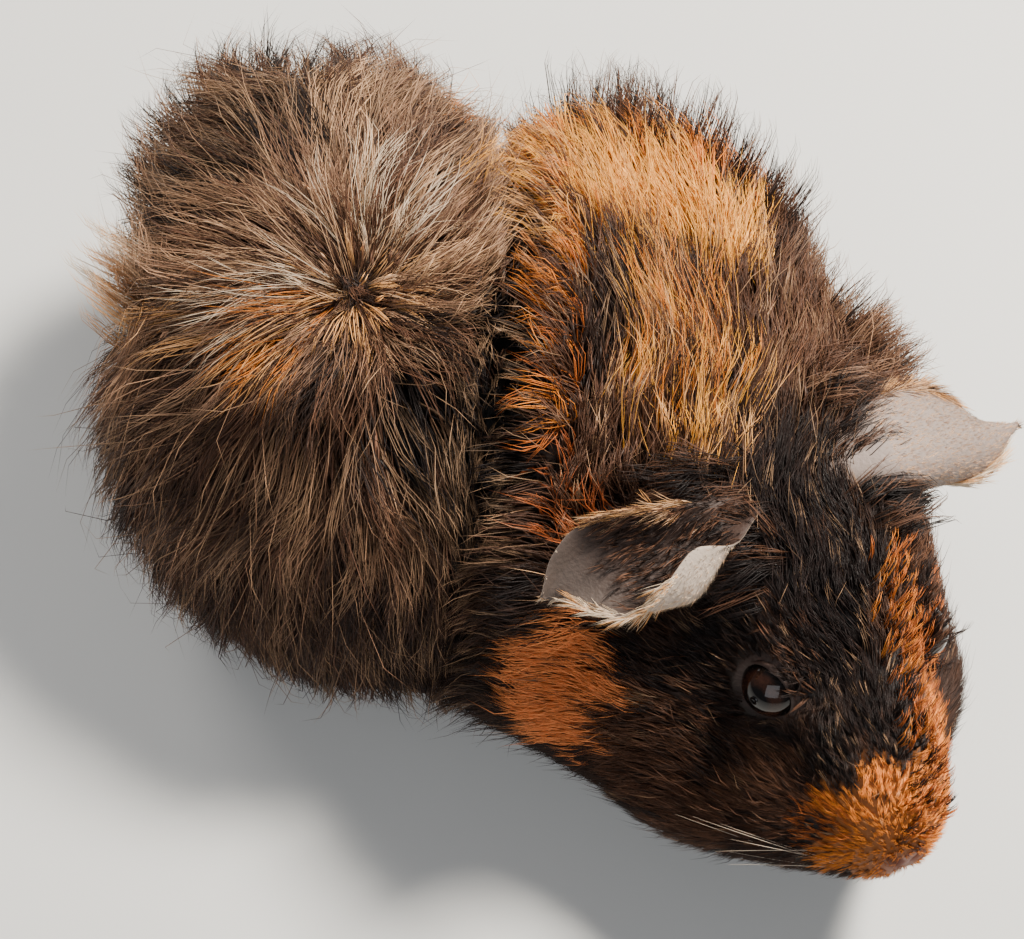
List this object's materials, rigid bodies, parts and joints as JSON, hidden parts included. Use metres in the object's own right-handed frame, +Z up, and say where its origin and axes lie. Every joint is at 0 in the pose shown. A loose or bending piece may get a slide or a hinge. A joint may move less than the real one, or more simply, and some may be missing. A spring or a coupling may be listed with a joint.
{
  "type": "guinea pig",
  "caption": "Life-size rough-coated tortoiseshell guinea pig resting in a crouch, with rosettes in its coat and its head turned to its right",
  "frame": {"origin": "on the floor, under the middle of the animal's bounding box", "axes": "+X from the rump towards the shoulders along the trunk's length, +Y to the animal's left, +Z up"},
  "size_m": [0.1978, 0.133, 0.0949],
  "materials": {
    "coat": "rough fur, dark brown to black with orange and golden patches",
    "ear_skin": "bare grey-brown skin with fine short hair",
    "foot_skin": "dark skin under short hair, bare pads",
    "claw": "dark horn, satin",
    "eye": "wet, near black"
  },
  "bodies": {
    "root": {"belly": "coat", "chest": "coat", "claw_forefoot_left_1": "claw", "claw_forefoot_left_2": "claw", "claw_forefoot_left_3": "claw", "claw_forefoot_left_4": "claw", "claw_forefoot_right_1": "claw", "claw_forefoot_right_2": "claw", "claw_forefoot_right_3": "claw", "claw_forefoot_right_4": "claw", "claw_hindfoot_left_1": "claw", "claw_hindfoot_left_2": "claw", "claw_hindfoot_left_3": "claw", "claw_hindfoot_right_1": "claw", "claw_hindfoot_right_2": "claw", "claw_hindfoot_right_3": "claw", "ear_left": "ear_skin", "ear_right": "ear_skin", "eye_left": "eye", "eye_right": "eye", "forefoot_left": "foot_skin", "forefoot_right": "foot_skin", "foreleg_left": "coat", "foreleg_right": "coat", "head": "coat", "hindfoot_left": "foot_skin", "hindfoot_right": "foot_skin", "hindleg_left": "coat", "hindleg_right": "coat", "lower_jaw": "coat", "neck": "coat", "rump": "coat"}
  },
  "joints": []
}
